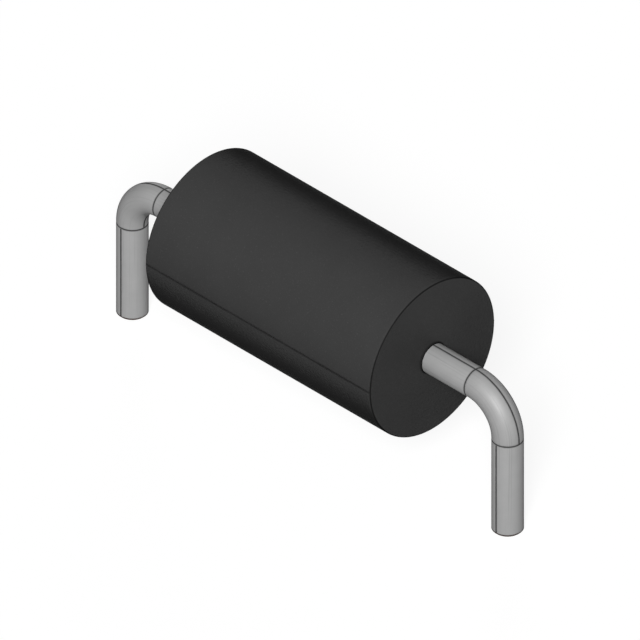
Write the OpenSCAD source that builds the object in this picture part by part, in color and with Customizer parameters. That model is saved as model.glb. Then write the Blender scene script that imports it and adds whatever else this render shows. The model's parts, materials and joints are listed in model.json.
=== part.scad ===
// Axial rectifier diode with its leads formed for a board.
// A die is soldered between the nail heads of two leads, sealed in a bead of soft coating,
// and moulded into a cylinder of black epoxy. Each lead leaves the centre of one end face,
// bends down through a quarter turn and ends below the board's top face.
// +X runs along the body from cathode to anode, and +Z points up from the board.
// The origin is midway between the leads, on the plane that the body rests on.

/* [Body] */
// Diameter of the moulded body
body_d = 5.06; // [4.2:0.02:7]
// Length of the moulded body
body_l = 9.14; // [7:0.02:11.5]
// Rounding of the edge round each end face
edge_r = 0.05; // [0.02:0.01:0.3]

/* [Mould marks] */
// How far the parting line stands out of the body's sides
parting_out = 0.03; // [0.01:0.01:0.1]
// Thickness of the parting line
parting_t = 0.04; // [0.02:0.01:0.1]
// Length of the broken gate on the parting line
gate_w = 1.2; // [0.6:0.1:2.4]
// Height of the broken gate, all of it in the upper half of the mould
gate_h = 0.35; // [0.2:0.05:0.8]
// How far the broken gate stands out of the side
gate_out = 0.06; // [0.02:0.01:0.2]
// Diameter of the two ejector marks under the body
ejector_d = 1.2; // [0.6:0.1:1.6]
// Depth of the ejector marks
ejector_depth = 0.1; // [0.08:0.01:0.2]
// Distance between the centres of the ejector marks
ejector_pitch = 5.2; // [3:0.1:5.6]

/* [Leads] */
// Diameter of the wire
lead_d = 0.94; // [0.6:0.02:1.3]
// Distance between the two leads where they enter the board
lead_pitch = 15.24; // [15.24:2.54:25.4]
// Radius of the bend, at the middle of the wire
bend_r = 1.27; // [0.8:0.01:1.4]
// Length of wire below the board's top face
tip_drop = 1.94; // [1:0.02:5]
// Chamfer round the cut end
tip_chamfer = 0.04; // [0.02:0.01:0.1]

/* [Nail heads] */
// Diameter of the flattened head
head_d = 2.4; // [1.8:0.05:3]
// Thickness of the head's rim
head_t = 0.45; // [0.3:0.05:0.8]
// Rounding of the rim's two edges
rim_r = 0.1; // [0.05:0.01:0.15]
// Length of the taper from the head down to the wire
head_taper = 0.42; // [0.2:0.02:1]

/* [Die] */
// Width of the square die at its cathode face
die_w = 1.9; // [1.4:0.05:2.3]
// Thickness of the die
die_t = 0.26; // [0.2:0.01:0.4]
// How far each side slopes in towards the anode face
die_bevel = 0.12; // [0.05:0.01:0.2]
// Thickness of the solder on each face of the die
solder_t = 0.07; // [0.04:0.01:0.12]

/* [Junction coating] */
// How far the coating bulges out past the rims of the heads
coat_out = 0.5; // [0.45:0.05:0.7]
// Radius of the bulge
coat_r = 0.82; // [0.75:0.01:1]

/* [Hidden] */
$fn = 64;

axis_z = body_d / 2;
head_x = die_t / 2 + solder_t;
bend_x = lead_pitch / 2 - bend_r;
bend_z = axis_z - bend_r;
head_flat_d = head_d - 2 * rim_r;
coat_ring_r = head_d / 2 + coat_out - coat_r;
anode_face_w = die_w - 2 * die_bevel;

// Places its children on the body's axis with their +Z turned to +X
module on_axis(x = 0) {
    translate([x, 0, axis_z])
        rotate([0, 90, 0])
            children();
}

// A disc with both of its edges rounded, standing on z = 0
module round_edged_disc(d, t, r) {
    rotate_extrude() {
        square([d / 2 - r, t]);
        translate([0, r])
            square([d / 2, t - 2 * r]);
        for (z = [r, t - r])
            translate([d / 2 - r, z])
                circle(r = r);
    }
}

// The upset head of a lead: a rounded disc whose back tapers down to the wire
module nail_head() {
    round_edged_disc(head_d, head_t, rim_r);
    translate([0, 0, head_t])
        cylinder(h = head_taper, d1 = head_flat_d, d2 = lead_d);
}

// One lead, from the face of its head out along +X and down to its cut end
module formed_lead() {
    on_axis(head_x) {
        nail_head();
        cylinder(h = bend_x - head_x, d = lead_d);
    }
    translate([bend_x, 0, bend_z])
        rotate([90, 0, 0])
            rotate_extrude(angle = 90)
                translate([bend_r, 0])
                    circle(d = lead_d);
    translate([lead_pitch / 2, 0, tip_chamfer - tip_drop])
        cylinder(h = bend_z + tip_drop - tip_chamfer, d = lead_d);
    translate([lead_pitch / 2, 0, -tip_drop])
        cylinder(h = tip_chamfer, d1 = lead_d - 2 * tip_chamfer, d2 = lead_d);
}

// The die's side view: full width at the cathode face, narrower at the anode face
module die_outline() {
    polygon([
        [-die_t / 2, -die_w / 2],
        [die_t / 2, -anode_face_w / 2],
        [die_t / 2, anode_face_w / 2],
        [-die_t / 2, die_w / 2],
    ]);
}

// The die, bevelled on its four sides
module die_block() {
    translate([0, 0, axis_z])
        intersection() {
            linear_extrude(height = die_w, center = true)
                die_outline();
            rotate([90, 0, 0])
                linear_extrude(height = die_w, center = true)
                    die_outline();
        }
}

// Solder from x outwards, filling the place where a die face and a head's flat overlap
module solder_pad(x, face_w) {
    intersection() {
        on_axis(x)
            cylinder(h = solder_t, d = head_flat_d);
        translate([x, -face_w / 2, axis_z - face_w / 2])
            cube([solder_t, face_w, face_w]);
    }
}

// The bead that is laid round the die and laps over both heads
module coating_ring() {
    on_axis()
        rotate_extrude()
            translate([coat_ring_r, 0])
                circle(r = coat_r);
}

// Everything the coating is laid on
module soldered_stack() {
    formed_lead();
    rotate([0, 0, 180])
        formed_lead();
    solder_pad(-head_x, die_w);
    solder_pad(die_t / 2, anode_face_w);
    die_block();
}

// The strip of resin that the two mould halves leave along both sides
module parting_line() {
    translate([0, 0, axis_z])
        cube([body_l - 2 * edge_r, body_d + 2 * parting_out, parting_t], center = true);
}

// What is left of the runner where the body was broken off it
module gate_stub() {
    translate([-gate_w / 2, 0, axis_z])
        cube([gate_w, body_d / 2 + gate_out, gate_h]);
}

// The flats that the ejector pins leave under the body
module ejector_marks() {
    for (side = [-1, 1])
        translate([side * ejector_pitch / 2, 0, -ejector_depth])
            cylinder(h = 2 * ejector_depth, d = ejector_d);
}

module epoxy_body() {
    color([0.15, 0.15, 0.16])
        difference() {
            union() {
                on_axis(-body_l / 2)
                    round_edged_disc(body_d, body_l, edge_r);
                parting_line();
                gate_stub();
            }
            ejector_marks();
            coating_ring();
            soldered_stack();
        }
}

module cathode_lead() {
    color([0.66, 0.66, 0.67])
        rotate([0, 0, 180])
            formed_lead();
}

module anode_lead() {
    color([0.66, 0.66, 0.67])
        formed_lead();
}

module cathode_solder() {
    color([0.55, 0.56, 0.58])
        solder_pad(-head_x, die_w);
}

module anode_solder() {
    color([0.55, 0.56, 0.58])
        solder_pad(die_t / 2, anode_face_w);
}

module silicon_die() {
    color([0.25, 0.27, 0.33])
        die_block();
}

module junction_coating() {
    color([0.85, 0.85, 0.82])
        difference() {
            coating_ring();
            soldered_stack();
        }
}

epoxy_body();
cathode_lead();
anode_lead();
cathode_solder();
anode_solder();
silicon_die();
junction_coating();
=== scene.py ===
"""An axial rectifier diode: its moulded body, its two formed leads and what they hold inside."""

import json
import math

import bmesh
import bpy
from mathutils import Matrix, Vector, geometry, noise


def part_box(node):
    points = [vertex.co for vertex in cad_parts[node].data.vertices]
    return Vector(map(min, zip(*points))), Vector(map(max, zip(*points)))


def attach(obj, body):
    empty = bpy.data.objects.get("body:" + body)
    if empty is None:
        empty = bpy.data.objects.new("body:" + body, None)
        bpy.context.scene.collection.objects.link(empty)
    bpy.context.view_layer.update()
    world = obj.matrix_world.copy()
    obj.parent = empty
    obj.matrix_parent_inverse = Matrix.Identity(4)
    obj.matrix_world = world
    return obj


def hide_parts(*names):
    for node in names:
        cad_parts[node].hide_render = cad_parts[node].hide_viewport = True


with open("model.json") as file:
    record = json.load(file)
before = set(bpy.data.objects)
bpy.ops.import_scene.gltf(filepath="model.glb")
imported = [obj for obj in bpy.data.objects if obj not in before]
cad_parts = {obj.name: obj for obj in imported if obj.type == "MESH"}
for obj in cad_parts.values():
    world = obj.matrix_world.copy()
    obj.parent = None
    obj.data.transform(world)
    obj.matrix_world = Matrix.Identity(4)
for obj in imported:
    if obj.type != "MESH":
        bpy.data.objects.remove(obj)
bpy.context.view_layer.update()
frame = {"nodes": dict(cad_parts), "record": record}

# ---------------------------------------------------------------- sizes, in metres

MM = 0.001
MOUNTS = {mount["name"]: mount for mount in frame["record"]["mounts"]}

body_low, body_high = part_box("epoxy_body")
lead_low, lead_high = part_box("anode_lead")
coat_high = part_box("junction_coating")[1]

# the moulded body, the marks of its mould, and the collar of resin round each lead
BODY_R = (body_high.z - body_low.z) / 2
BODY_END = body_high.x
AXIS_Z = (body_high.z + body_low.z) / 2
EDGE_R = 0.05 * MM
COLLAR_R = 0.05 * MM
PARTING_OUT = -body_low.y - BODY_R
PARTING_T = 0.04 * MM
PARTING_DARK_W = 0.07 * MM
GATE_OUT = body_high.y - BODY_R
GATE_W = 1.2 * MM
GATE_H = 0.35 * MM
EJECTOR_R = 0.6 * MM
EJECTOR_X = 2.6 * MM
EJECTOR_DEPTH = 0.1 * MM

# near its parting line the body's side lies further out than this share of its radius
OUTERMOST = 0.98

# the leads
WIRE_R = MOUNTS["anode_pin"]["dims"]["r_mm"] * MM
HALF_PITCH = MOUNTS["anode_pin"]["pos_m"][0]
TIP_Z = lead_low.z
TIP_CHAMFER = 0.04 * MM
HEAD_X = lead_low.x
HEAD_R = lead_high.z - AXIS_Z
HEAD_T = 0.45 * MM
HEAD_RIM = 0.1 * MM
HEAD_TAPER = 0.42 * MM
BEND_R = 1.27 * MM
BEND_X = HALF_PITCH - BEND_R
BEND_Z = AXIS_Z - BEND_R
BEND_LENGTH = BEND_R * math.pi / 2
RING_W = 0.06 * MM
RING_DEPTH = 0.008 * MM
RING_STAIN_W = 1.7 * RING_W
SCORE_W = 0.24 * WIRE_R
SHEARED_H = 0.06 * MM

# the bead of coating that the body's hollow is moulded round
COAT_R = coat_high.x
COAT_RING_R = coat_high.z - AXIS_Z - COAT_R

# how finely round things, the bend and the body's side are divided
WIRE_SIDES = 128
BODY_SIDES = 256
SIDE_STEPS = 45
BEND_STEPS = 48
BEAD_STEPS = 48
ARC_STEPS = 6

# the angle from which an edge is a crease, and how close together two points are one
CREASE = math.radians(35)
SAME_PLACE = 0.0005 * MM


# ---------------------------------------------------------------- shader maths


class Value:
    """A number or a colour in a material. Arithmetic on it adds the Math nodes."""

    def __init__(self, nodes, socket):
        self.nodes = nodes
        self.socket = socket

    def other(self, output):
        """Another output of the same node."""
        return Value(self.nodes, self.socket.node.outputs[output])

    def __add__(self, other):
        return self.nodes.maths("ADD", self, other)

    __radd__ = __add__

    def __sub__(self, other):
        return self.nodes.maths("SUBTRACT", self, other)

    def __rsub__(self, other):
        return self.nodes.maths("SUBTRACT", other, self)

    def __mul__(self, other):
        return self.nodes.maths("MULTIPLY", self, other)

    __rmul__ = __mul__

    def __abs__(self):
        return self.nodes.maths("ABSOLUTE", self)

    def highest(self, other):
        """Whichever is higher."""
        return self.nodes.maths("MAXIMUM", self, other)

    def wave(self):
        """0 to 1 and back again each time the value grows by a full turn in radians."""
        return self.nodes.maths("SINE", self) * 0.5 + 0.5


class Nodes:
    """A node tree in the making."""

    # where a Mix node keeps its two colours, and the colour that comes out
    FIRST_COLOUR, SECOND_COLOUR, MIXED_COLOUR = 6, 7, 2

    def __init__(self, tree):
        self.tree = tree

    def add(self, kind, settings=None, inputs=None, output=0):
        """A node of that kind. Its settings are set first, then the values or links of its sockets."""
        node = self.tree.nodes.new(kind)
        for name, value in (settings or {}).items():
            setattr(node, name, value)
        for key, value in (inputs or {}).items():
            self.feed(node.inputs[key], value)
        return Value(self, node.outputs[output])

    def feed(self, socket, value):
        if isinstance(value, Value):
            self.tree.links.new(value.socket, socket)
        else:
            socket.default_value = value

    def maths(self, operation, *values):
        return self.add("ShaderNodeMath", {"operation": operation}, dict(enumerate(values)))

    def mix(self, factor, first, second):
        """A colour between two colours."""
        inputs = {"Factor": factor, self.FIRST_COLOUR: colour(first), self.SECOND_COLOUR: colour(second)}
        return self.add("ShaderNodeMix", {"data_type": "RGBA"}, inputs, self.MIXED_COLOUR)

    def shown(self):
        """1 for rays that show the background, also in metal and glass, and 0 for rays that light."""
        straight = self.add("ShaderNodeLightPath", output="Is Camera Ray")
        glossy, through = straight.other("Is Glossy Ray"), straight.other("Is Transmission Ray")
        return straight.highest(glossy).highest(through)


class Finish(Nodes):
    """A material in the making: its shader, and the nodes that feed the shader's sockets."""

    def __init__(self, name, **constants):
        self.material = bpy.data.materials.new(name)
        self.material.use_nodes = True
        super().__init__(self.material.node_tree)
        self.shader = self.tree.nodes["Principled BSDF"]
        self.drive(**constants)

    def drive(self, **sockets):
        """Sets the shader's sockets, or links what changes over the surface into them."""
        for name, value in sockets.items():
            self.feed(self.shader.inputs[name.replace("_", " ")], value)

    def place(self):
        """The point on the piece, in millimetres."""
        where = self.add("ShaderNodeTexCoord", output="Object")
        return self.stretched(where, (1 / MM, 1 / MM, 1 / MM))

    def along_wire(self):
        """Where the point lay on the straight wire, in radii: outwards, across and along."""
        return self.add("ShaderNodeAttribute", {"attribute_name": WIRE_PLACE}, output="Vector")

    def stretched(self, where, scale):
        return self.add("ShaderNodeMapping", inputs={"Vector": where, "Scale": scale})

    def axes(self, where):
        """The three numbers of a point."""
        x = self.add("ShaderNodeSeparateXYZ", inputs={0: where})
        return x, x.other("Y"), x.other("Z")

    def point(self, x, y, z):
        return self.add("ShaderNodeCombineXYZ", inputs={"X": x, "Y": y, "Z": z})

    def distance(self, where, point):
        return self.add("ShaderNodeVectorMath", {"operation": "DISTANCE"}, {0: where, 1: point}, "Value")

    def grain(self, where, scale, detail=2.0, roughness=0.5):
        """Soft noise from 0 to 1, with about that many features a millimetre."""
        inputs = {"Vector": where, "Scale": scale, "Detail": detail, "Roughness": roughness}
        return self.add("ShaderNodeTexNoise", inputs=inputs)

    def fade(self, value, start, end):
        """0 where value is at start, 1 where it is at end, and smooth between."""
        inputs = {"Value": value, "From Min": start, "From Max": end}
        return self.add("ShaderNodeMapRange", {"interpolation_type": "SMOOTHSTEP"}, inputs)

    def near(self, value, middle, width):
        """1 where value is at middle, and 0 from half the width away."""
        return self.fade(abs(value - middle), width / 2, 0)

    def bump(self, height, depth, under=None):
        """A normal that follows a height of 0 to 1, for that many metres, on top of another normal."""
        inputs = {"Height": height, "Distance": depth}
        if under:
            inputs["Normal"] = under
        return self.add("ShaderNodeBump", inputs=inputs)


def colour(value):
    """A colour as a socket takes it, from a link, a grey or a triple."""
    if isinstance(value, Value):
        return value
    red, green, blue = value if isinstance(value, tuple) else (value, value, value)
    return (red, green, blue, 1)


# ---------------------------------------------------------------- finishes

# a metal's shine with this tint dies away towards its edges instead of whitening
NO_EDGE_SHINE = colour(0.0)
WIRE_PLACE = "wire_place"

# how dark the parting line is, as a share of the painted shade at the edges of the ends
LINE_SHARE = 0.55

# how quickly the rings turned on an ejector pin follow each other, in radians a millimetre
TURNING = 120

# a number is a grey, and where there are two, the finish varies between them
COMPOUND = (0.052, 0.06)
# the grey of the painted shade at the edges of the ends, and of the darker collars and parting line
SHADE_AND_LINE_GREY = 0.006
FILLER = 0.1
FRACTURE = 0.12
TIN = (0.41, 0.46)
DRAWN_TIN = 0.25
TOOL_MARK = 0.015
SHEARED = (0.05, 0.03, 0.022)
COPPER = (0.5, 0.22, 0.12)
SOLDER = (0.33, 0.48)
SILICON = ((0.07, 0.08, 0.11), (0.1, 0.11, 0.15))
SILICONE = ((0.7, 0.7, 0.66), (0.78, 0.78, 0.74))


def edge_shade_and_dark_lines(finish, x, y, height, out):
    """1 where shade is painted at the edges of the ends, and where the collars and, weaker, the parting
    line are darker.
    """
    soft = 0.03
    end, side = (BODY_END - EDGE_R) / MM, (BODY_R - EDGE_R) / MM
    # painted shade over the rounded edges of the ends, where the key's highlight would fall
    edge = finish.fade(abs(x), end, end + soft) * finish.fade(out, side, side + soft)
    collar = finish.fade(out, (WIRE_R + COLLAR_R) / MM + soft, WIRE_R / MM)
    outer = finish.fade(abs(y), side - soft, BODY_R / MM - soft)
    line = finish.near(height, 0, PARTING_DARK_W / MM) * outer
    return edge.highest(collar).highest(line * LINE_SHARE)


def broken_gate(finish, x, y, height):
    """1 on the stump that the gate left when it broke off."""
    soft = 0.02
    end, top, side = GATE_W / 2 / MM, GATE_H / MM, BODY_R / MM
    beyond = finish.fade(y, side, side + soft / 2) * finish.fade(abs(x), end + soft, end)
    return beyond * finish.fade(height, 0, soft) * finish.fade(height, top + soft, top)


def pin_marks(finish, x, y, z):
    """1 on the marks of the two ejector pins, and how far a point is from the middle of the nearer one."""
    soft = 0.01
    radius = EJECTOR_R / MM
    pin = (EJECTOR_X / MM, 0, EJECTOR_DEPTH / MM)
    from_pin = finish.distance(finish.point(abs(x), y, z), pin)
    return finish.fade(from_pin, radius + soft, radius - soft), from_pin


def mould_compound():
    """Black epoxy full of grey filler, finely matt from an eroded mould, with the marks of the mould,
    painted shade at the edges of its ends, and darker collars and parting line.
    """
    finish = Finish(
        "mould_compound", Metallic=0.5, Specular_IOR_Level=0.0, Specular_Tint=NO_EDGE_SHINE
    )
    where = finish.place()
    x, y, z = finish.axes(where)
    height = z - AXIS_Z / MM
    out = finish.distance(where, finish.point(x, 0, AXIS_Z / MM))

    shade_and_lines = edge_shade_and_dark_lines(finish, x, y, height, out)
    broken = broken_gate(finish, x, y, height)
    pin_mark, from_pin = pin_marks(finish, x, y, z)
    filler = finish.fade(finish.grain(where, 24), 0.6, 0.76)

    tone = finish.mix(finish.grain(where, 0.9, detail=3), *COMPOUND)
    tone = finish.mix(filler * 0.4, tone, FILLER)
    # painted shade at the edges of the ends, and the darker collars and parting line
    tone = finish.mix(shade_and_lines * 0.85, tone, SHADE_AND_LINE_GREY)
    tone = finish.mix(broken * (0.5 + 0.5 * filler), tone, FRACTURE)

    # the mould was spark eroded, and the ends of its ejector pins were turned
    erosion = finish.grain(where, 14, detail=4, roughness=0.6) * (1 - pin_mark)
    turning = (from_pin * TURNING).wave() * pin_mark
    fracture = finish.grain(where, 9, detail=6, roughness=0.7) * broken
    finish.drive(
        Base_Color=tone,
        Roughness=0.4 + 0.14 * finish.grain(where, 5) + 0.1 * shade_and_lines + 0.3 * broken,
        Normal=finish.bump(fracture, 0.03 * MM, finish.bump(erosion + turning * 0.6, 0.012 * MM)),
    )
    return finish.material


def tool_marks(finish, out, across, along):
    """1 on the rings that the forming tool pressed in, and on the lines that the drawing die scored."""
    bend_start = (BEND_X - RING_W / 2) / WIRE_R
    bend_end = (BEND_X + BEND_LENGTH + RING_W / 2) / WIRE_R
    ring_w = RING_STAIN_W / WIRE_R
    rings = finish.near(along, bend_start, ring_w).highest(finish.near(along, bend_end, ring_w))

    # the lines run over the stub and the bend, under the bend, and down the near side of the upright run
    score_w = SCORE_W / WIRE_R
    run_out = 0.1
    before_end = finish.fade(along, bend_end + run_out, bend_end)
    after_start = finish.fade(along, bend_start, bend_start + run_out)
    lengthwise = finish.near(across, 0, score_w) * before_end
    over = lengthwise * finish.fade(out, 0, 0.5)
    under = lengthwise * finish.fade(out, 0, -0.5) * after_start
    beside = finish.near(out, 0, score_w) * finish.fade(across, 0, -0.5) * (1 - before_end)
    return rings, over.highest(under).highest(beside)


def matte_tin():
    """Matte tin plate on drawn wire: draw lines, tool marks, and copper where it was sheared off."""
    finish = Finish("matte_tin", Metallic=0.2, Specular_IOR_Level=0.0, Specular_Tint=NO_EDGE_SHINE)
    where = finish.place()
    wire = finish.along_wire()
    rings, scores = tool_marks(finish, *finish.axes(wire))
    lines = finish.grain(finish.stretched(wire, (9, 9, 0.12)), 1.0, detail=3)
    crystals = finish.grain(where, 22, detail=3)
    mottle = finish.grain(where, 2.5, detail=3)
    patchy = 0.85 + 0.15 * mottle
    soft = 0.04
    above_tip = finish.axes(where)[2] - TIP_Z / MM
    sheared = finish.fade(above_tip, SHEARED_H / MM + soft, SHEARED_H / MM)
    cut = finish.fade(above_tip, TIP_CHAMFER / 2 / MM, 0)

    tone = finish.mix(mottle, *TIN)
    tone = finish.mix(finish.fade(lines, 0.56, 0.7) * 0.3, tone, DRAWN_TIN)
    tone = finish.mix(rings.highest(scores) * patchy, tone, TOOL_MARK)
    tone = finish.mix(sheared * patchy, tone, SHEARED)
    tone = finish.mix(cut * finish.fade(lines + crystals, 0.7, 1.0), tone, COPPER)
    finish.drive(
        Base_Color=tone,
        Roughness=0.45 + 0.12 * lines + 0.06 * crystals,
        Normal=finish.bump(crystals, 0.002 * MM, finish.bump(lines - scores, 0.004 * MM)),
    )
    return finish.material


def dull_solder():
    """Solder with a grainy, dull skin."""
    finish = Finish("dull_solder", Metallic=0.8)
    where = finish.place()
    finish.drive(
        Base_Color=finish.mix(finish.grain(where, 6, detail=4), *SOLDER),
        Roughness=0.4 + 0.25 * finish.grain(where, 12),
    )
    return finish.material


def etched_silicon():
    """Lapped and etched silicon, unevenly glossy."""
    finish = Finish("etched_silicon", Metallic=0.4)
    where = finish.place()
    finish.drive(
        Base_Color=finish.mix(finish.grain(where, 8), *SILICON),
        Roughness=0.2 + 0.3 * finish.grain(where, 20),
    )
    return finish.material


def cured_silicone():
    """Milky silicone that set as it flowed."""
    finish = Finish("cured_silicone", Roughness=0.4)
    where = finish.place()
    finish.drive(
        Base_Color=finish.mix(finish.grain(where, 2), *SILICONE),
        Normal=finish.bump(finish.grain(where, 2.5), 0.02 * MM),
    )
    return finish.material


# ---------------------------------------------------------------- mesh tools


def as_mesh(name, bm, material):
    """Turns a bmesh into an object with outward faces, shaded smooth up to its creases."""
    bmesh.ops.remove_doubles(bm, verts=bm.verts, dist=SAME_PLACE)
    bmesh.ops.recalc_face_normals(bm, faces=bm.faces)
    mesh = bpy.data.meshes.new(name)
    bm.to_mesh(mesh)
    bm.free()
    mesh.shade_smooth()
    mesh.set_sharp_from_angle(angle=CREASE)
    mesh.materials.append(material)
    made = bpy.data.objects.new(name, mesh)
    bpy.context.scene.collection.objects.link(made)
    return made


def belongs(piece, slot, *nodes):
    """Makes an object a piece of the diode, in place of CAD nodes."""
    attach(piece, "root")
    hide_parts(*nodes)


def arc(centre, radius, start, end, steps=ARC_STEPS):
    """Points (along, out) on an arc, from one angle to another in degrees."""
    turns = [math.radians(start + (end - start) * k / steps) for k in range(steps + 1)]
    return [(centre[0] + radius * math.cos(t), centre[1] + radius * math.sin(t)) for t in turns]


def uneven(spot, grains, least):
    """A share from least to 1, which changes from spot to spot that many times a millimetre."""
    swing = 0.5 + noise.noise(spot * grains / MM)
    return least + (1 - least) * min(max(swing, 0), 1)


def each_once(parts):
    """The parts without repeats, in the order given."""
    return list(dict.fromkeys(parts))


# ---------------------------------------------------------------- the moulded body


def body_outline():
    """The body's section as (x, radius), from the middle of its side round one end into its hollow."""
    side_end = BODY_END - EDGE_R
    side = [(side_end * k / SIDE_STEPS, BODY_R) for k in range(SIDE_STEPS)]
    edge = arc((side_end, BODY_R - EDGE_R), EDGE_R, 90, 0)
    collar = arc((BODY_END + COLLAR_R, WIRE_R + COLLAR_R), COLLAR_R, 180, 270)

    # the hollow follows the wire, then the taper of the head until the bead of coating covers it
    taper_end = Vector((HEAD_X + HEAD_T + HEAD_TAPER, WIRE_R))
    taper_start = Vector((HEAD_X + HEAD_T, HEAD_R - HEAD_RIM))
    meets = geometry.intersect_line_sphere_2d(taper_end, taper_start, Vector((0, COAT_RING_R)), COAT_R)
    lap = next(point for point in meets if point)
    lap_angle = math.degrees(math.atan2(lap.y - COAT_RING_R, lap.x))
    bead = arc((0, COAT_RING_R), COAT_R, lap_angle, 90, BEAD_STEPS)
    return side + edge + collar + [tuple(taper_end)] + bead


def side_faces(bm, side, low, high, reach=BODY_END - EDGE_R):
    """The faces of the round side towards -Y or +Y, between two heights from the axis and within reach."""
    found = []
    for face in bm.faces:
        middle = face.calc_center_median()
        height = middle.z - AXIS_Z
        level = low + SAME_PLACE < height < high - SAME_PLACE
        if level and abs(middle.x) < reach - SAME_PLACE and side * middle.y > OUTERMOST * BODY_R:
            found.append(face)
    return found


def cut_across(bm, faces, point, normal):
    """Cuts faces in two along a plane."""
    parts = each_once(part for face in faces for part in (face, *face.edges, *face.verts))
    bmesh.ops.bisect_plane(bm, geom=parts, dist=SAME_PLACE, plane_co=point, plane_no=normal)


def raise_faces(bm, faces, place):
    """Extrudes faces of the body's side, with each new corner at place(corner) from the middle plane."""
    made = bmesh.ops.extrude_face_region(bm, geom=faces)["geom"]
    bmesh.ops.delete(bm, geom=faces, context="FACES")
    for corner in (g.co for g in made if isinstance(g, bmesh.types.BMVert)):
        corner.y = math.copysign(place(corner), corner.y)


def flash(corner):
    """How far out the trimmed parting line reaches at a corner of the body's side."""
    return abs(corner.y) + PARTING_OUT * uneven(corner, grains=2.5, least=0.5)


def stump(corner):
    """How far out the broken face of the gate reaches."""
    return BODY_R + GATE_OUT * uneven(corner, grains=6, least=0.5)


def add_mould_marks(bm):
    """Raises the parting line along both sides, and the stump of the broken gate on the +Y side."""
    half_t = PARTING_T / 2
    for side in (-1, 1):
        for height in (-half_t, half_t):
            strip = side_faces(bm, side, -GATE_H, GATE_H)
            cut_across(bm, strip, (0, 0, AXIS_Z + height), (0, 0, 1))
    cut_across(bm, side_faces(bm, 1, 0, 2 * GATE_H), (0, 0, AXIS_Z + GATE_H), (0, 0, 1))
    for x in (-GATE_W / 2, GATE_W / 2):
        cut_across(bm, side_faces(bm, 1, 0, GATE_H, GATE_W), (x, 0, 0), (1, 0, 0))

    # the gate overlaps the parting line, so its faces rise with the line's first, and then on their own
    raise_faces(bm, side_faces(bm, -1, -half_t, half_t), flash)
    gate = (1, 0, GATE_H, GATE_W / 2)
    overlapping = side_faces(bm, 1, -half_t, half_t) + side_faces(bm, *gate)
    raise_faces(bm, each_once(overlapping), flash)
    raise_faces(bm, side_faces(bm, *gate), stump)


def ejector_pins(material):
    """The two pins that pushed the body out of its mould, as they stood under it."""
    bm = bmesh.new()
    for x in (-EJECTOR_X, EJECTOR_X):
        bmesh.ops.create_cone(
            bm,
            cap_ends=True,
            segments=WIRE_SIDES,
            radius1=EJECTOR_R,
            radius2=EJECTOR_R,
            depth=2 * EJECTOR_DEPTH,
            matrix=Matrix.Translation((x, 0, 0)),
        )
    return as_mesh("ejector_pins", bm, material)


def carve(piece, cutter):
    """Cuts a closed shape out of a piece, and does away with the shape."""
    carving = piece.modifiers.new("carving", "BOOLEAN")
    carving.operation = "DIFFERENCE"
    carving.solver = "EXACT"
    carving.object = cutter
    view = bpy.context.evaluated_depsgraph_get()
    carved = bpy.data.meshes.new_from_object(piece.evaluated_get(view))
    carved.set_sharp_from_angle(angle=CREASE)
    piece.modifiers.clear()
    piece.data = carved
    bpy.data.objects.remove(cutter)


def body_moulding(material):
    """The body: its section spun round the axis, with the marks of its mould."""
    bm = bmesh.new()
    half = body_outline()
    outline = half + [(-x, r) for x, r in reversed(half[1:-1])]
    verts = [bm.verts.new((x, 0, AXIS_Z + r)) for x, r in outline]
    edges = [bm.edges.new(pair) for pair in zip(verts, verts[1:] + verts[:1])]
    bmesh.ops.spin(
        bm,
        geom=verts + edges,
        cent=(0, 0, AXIS_Z),
        axis=(1, 0, 0),
        angle=math.tau,
        steps=BODY_SIDES,
        use_merge=True,
    )
    add_mould_marks(bm)
    piece = as_mesh("moulded_body", bm, material)
    carve(piece, ejector_pins(material))
    return piece


# ---------------------------------------------------------------- the leads


def head_profile():
    """The head and its taper as (x, radius), from the edge of the face that is soldered."""
    back = HEAD_X + HEAD_T
    front_rim = arc((HEAD_X + HEAD_RIM, HEAD_R - HEAD_RIM), HEAD_RIM, 180, 90)
    back_rim = arc((back - HEAD_RIM, HEAD_R - HEAD_RIM), HEAD_RIM, 90, 0)
    return front_rim + back_rim + [(back + HEAD_TAPER, WIRE_R)]


def extrude_ring(bm, ring, move, scale=1.0, centre=None):
    """Extrudes a ring of edges, moves the new ring and scales it about a centre. Returns the new ring."""
    made = bmesh.ops.extrude_edge_only(bm, edges=ring)["geom"]
    verts = [g for g in made if isinstance(g, bmesh.types.BMVert)]
    bmesh.ops.translate(bm, verts=verts, vec=move)
    if scale != 1.0:
        about = Matrix.Translation(-Vector(centre))
        bmesh.ops.scale(bm, verts=verts, vec=(scale, scale, scale), space=about)
    return [g for g in made if isinstance(g, bmesh.types.BMEdge)]


def pressed_ring(bm, ring, way, centre):
    """Goes on along the wire over the groove that the forming tool leaves. Returns the ring after it."""
    pressed = 1 - RING_DEPTH / WIRE_R
    half = way * RING_W / 2
    ring = extrude_ring(bm, ring, half, pressed, centre + half)
    return extrude_ring(bm, ring, half, 1 / pressed, centre + 2 * half)


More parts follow.
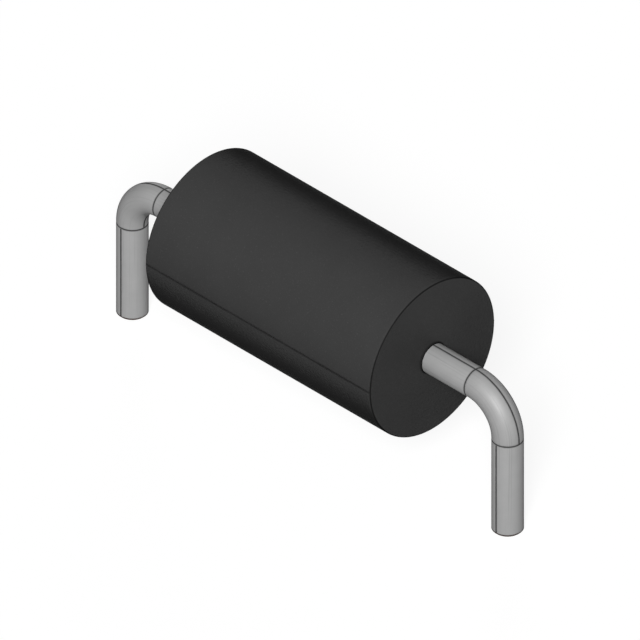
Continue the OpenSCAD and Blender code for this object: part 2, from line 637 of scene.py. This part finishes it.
def formed_wire(name, end, material):
    """One wire from its nail head out along X, round its bend and down to its cut end."""
    bm = bmesh.new()
    profile = head_profile()
    x, radius = profile[0]
    turn = Matrix.Translation((x, 0, AXIS_Z)) @ Matrix.Rotation(math.radians(90), 4, "Y")
    bmesh.ops.create_circle(bm, cap_ends=True, segments=WIRE_SIDES, radius=radius, matrix=turn)
    ring = list(bm.edges)
    for next_x, next_radius in profile[1:]:
        centre = (next_x, 0, AXIS_Z)
        ring = extrude_ring(bm, ring, (next_x - x, 0, 0), next_radius / radius, centre)
        x, radius = next_x, next_radius
    ring = extrude_ring(bm, ring, (BEND_X - RING_W - x, 0, 0))
    ring = pressed_ring(bm, ring, Vector((1, 0, 0)), Vector((BEND_X - RING_W, 0, AXIS_Z)))
    bend = bmesh.ops.spin(
        bm,
        geom=ring,
        cent=(BEND_X, 0, BEND_Z),
        axis=(0, 1, 0),
        angle=math.radians(90),
        steps=BEND_STEPS,
        use_merge=False,
    )
    ring = [g for g in bend["geom_last"] if isinstance(g, bmesh.types.BMEdge)]
    ring = pressed_ring(bm, ring, Vector((0, 0, -1)), Vector((HALF_PITCH, 0, BEND_Z)))
    ring = extrude_ring(bm, ring, (0, 0, TIP_Z + TIP_CHAMFER - (BEND_Z - RING_W)))
    tip = (HALF_PITCH, 0, TIP_Z)
    ring = extrude_ring(bm, ring, (0, 0, -TIP_CHAMFER), 1 - TIP_CHAMFER / WIRE_R, tip)
    bmesh.ops.edgeloop_fill(bm, edges=ring)
    if end < 0:
        bmesh.ops.rotate(bm, verts=bm.verts, cent=(0, 0, 0), matrix=Matrix.Rotation(math.pi, 3, "Z"))
    piece = as_mesh(name, bm, material)
    add_wire_place(piece)
    return piece


def add_wire_place(piece):
    """Stores where each point lay on the straight wire: away from the bend's middle, across and along."""
    places = []
    for vert in piece.data.vertices:
        x, y, z = abs(vert.co.x), vert.co.y, vert.co.z
        if x < BEND_X:
            along, out = x, z - AXIS_Z
        elif z > BEND_Z:
            turn = math.atan2(x - BEND_X, z - BEND_Z)
            along = BEND_X + BEND_R * turn
            out = math.hypot(x - BEND_X, z - BEND_Z) - BEND_R
        else:
            along = BEND_X + BEND_LENGTH + BEND_Z - z
            out = x - HALF_PITCH
        places += [out / WIRE_R, y / WIRE_R, along / WIRE_R]
    attribute = piece.data.attributes.new(WIRE_PLACE, "FLOAT_VECTOR", "POINT")
    attribute.data.foreach_set("vector", places)


# ---------------------------------------------------------------- the object

belongs(body_moulding(mould_compound()), "epoxy", "epoxy_body")

tin = matte_tin()
belongs(formed_wire("cathode_wire", -1, tin), "tinned_wire", "cathode_lead")
belongs(formed_wire("anode_wire", 1, tin), "tinned_wire", "anode_lead")

for nodes, material in (
    (("cathode_solder", "anode_solder"), dull_solder()),
    (("silicon_die",), etched_silicon()),
    (("junction_coating",), cured_silicone()),
):
    for node in nodes:
        frame["nodes"][node].data.materials.clear()
        frame["nodes"][node].data.materials.append(material)

# ---------------------------------------------------------------- stage, light and camera

KEY_LEVEL = 0.9
KEY_TURN = math.radians(39)
FILL_LEVEL = 0.45
FILL_RISE = math.radians(3)
SOFTNESS = math.radians(18)
AMBIENT = 0.03
FLOOR_COLOUR = 0.2
FLOOR_SIZE = 1.0
CAMERA_TURN = math.radians(45)
CAMERA_TILT = math.atan(1 / math.sqrt(2))
CAMERA_DISTANCE = 0.1
CAMERA_CLIP = (0.001, 10)
VIEW_WIDTH = 18.38 * MM
VIEW_DROP = 0.785 * MM

scene = bpy.context.scene


def towards(turn, tilt):
    """A direction turned from -Y towards +X and tilted up."""
    return Vector((math.sin(turn) * math.cos(tilt), -math.cos(turn) * math.cos(tilt), math.sin(tilt)))


def facing(direction):
    """The turn that makes a lamp or a camera on that side look back along it, upright."""
    return direction.to_track_quat("Z", "Y")


def white_world():
    """A world that looks white, and lights only a little."""
    world = bpy.data.worlds.new("studio")
    scene.world = world
    world.use_nodes = True
    nodes = Nodes(world.node_tree)
    levels = {"Value": nodes.shown(), "To Min": AMBIENT, "To Max": 1}
    strength = nodes.add("ShaderNodeMapRange", inputs=levels)
    background = world.node_tree.nodes["Background"]
    nodes.feed(background.inputs["Color"], colour(1))
    nodes.feed(background.inputs["Strength"], strength)


def pale_floor():
    """The floor under the leads' ends. Where it is lit it looks white, and it keeps the shadow."""
    light = KEY_LEVEL * math.sin(CAMERA_TILT) + FILL_LEVEL * math.sin(FILL_RISE) + AMBIENT
    finish = Finish("pale_floor", Base_Color=colour(FLOOR_COLOUR), Roughness=1, Specular_IOR_Level=0)
    glow = finish.mix(finish.shown(), 0, 1 - FLOOR_COLOUR * light)
    finish.drive(Emission_Color=glow, Emission_Strength=1)
    bm = bmesh.new()
    bmesh.ops.create_grid(bm, x_segments=1, y_segments=1, size=FLOOR_SIZE / 2)
    bmesh.ops.translate(bm, verts=bm.verts, vec=(0, 0, TIP_Z - SAME_PLACE))
    as_mesh("floor", bm, finish.material)


def soft_lamp(name, level, direction):
    """A soft lamp far off on one side, at a level of 1 where a colour renders as it is written."""
    data = bpy.data.lights.new(name, "SUN")
    data.energy = level * math.pi
    data.angle = SOFTNESS
    lamp = bpy.data.objects.new(name, data)
    lamp.rotation_mode = "QUATERNION"
    lamp.rotation_quaternion = facing(direction)
    scene.collection.objects.link(lamp)


def camera():
    data = bpy.data.cameras.new("camera")
    data.type = "ORTHO"
    data.ortho_scale = VIEW_WIDTH
    data.clip_start, data.clip_end = CAMERA_CLIP
    direction = towards(CAMERA_TURN, CAMERA_TILT)
    up = facing(direction) @ Vector((0, 1, 0))
    seen = bpy.data.objects.new("camera", data)
    seen.rotation_mode = "QUATERNION"
    seen.rotation_quaternion = facing(direction)
    seen.location = Vector((0, 0, AXIS_Z)) - up * VIEW_DROP + direction * CAMERA_DISTANCE
    scene.collection.objects.link(seen)
    scene.camera = seen


white_world()
pale_floor()
soft_lamp("key", KEY_LEVEL, towards(KEY_TURN, CAMERA_TILT))
soft_lamp("fill", FILL_LEVEL, towards(CAMERA_TURN + math.pi, FILL_RISE))
camera()
scene.view_settings.view_transform = "Standard"
